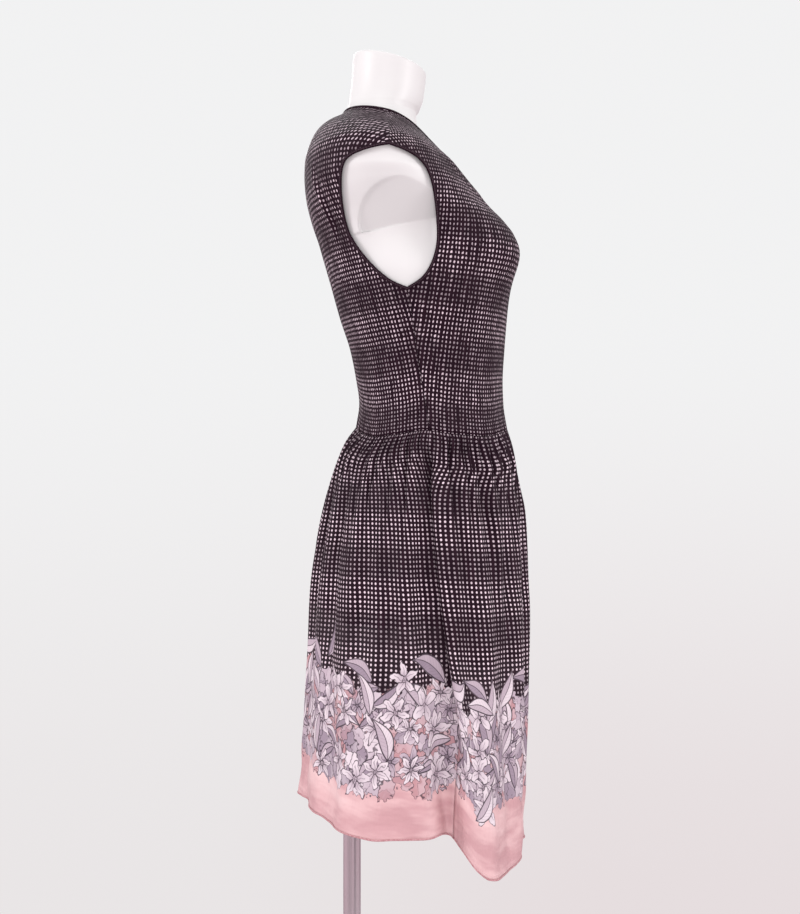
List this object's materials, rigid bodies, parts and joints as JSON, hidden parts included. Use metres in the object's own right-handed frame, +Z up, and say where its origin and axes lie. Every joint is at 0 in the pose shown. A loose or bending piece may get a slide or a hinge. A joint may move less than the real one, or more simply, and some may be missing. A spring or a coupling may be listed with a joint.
{
  "type": "sleeveless dress with a gathered skirt on a dress form stand",
  "caption": "Sleeveless fitted-bodice dress with a gathered skirt and bordered hem, worn on a limbless dress form with a pole stand.",
  "frame": {"origin": "middle of the base plate's underside, on the floor", "axes": "+Z up, -Y to the dress's front, -X to the wearer's right"},
  "size_m": [0.44, 0.33, 1.5064],
  "materials": {
    "dotted_cloth": "matte light woven cloth with small pale dots",
    "binding_cloth": "matte plain binding",
    "form_white": "smooth white satin shell",
    "steel": "satin"
  },
  "bodies": {
    "root": {"bodice_front": "dotted_cloth", "bodice_back": "dotted_cloth", "skirt_front": "dotted_cloth", "skirt_back": "dotted_cloth", "neck_binding": "binding_cloth", "armhole_binding_right": "binding_cloth", "armhole_binding_left": "binding_cloth", "dress_form": "form_white", "base_plate": "steel", "pole": "steel", "base_collar": "steel", "top_socket": "steel"}
  },
  "joints": []
}
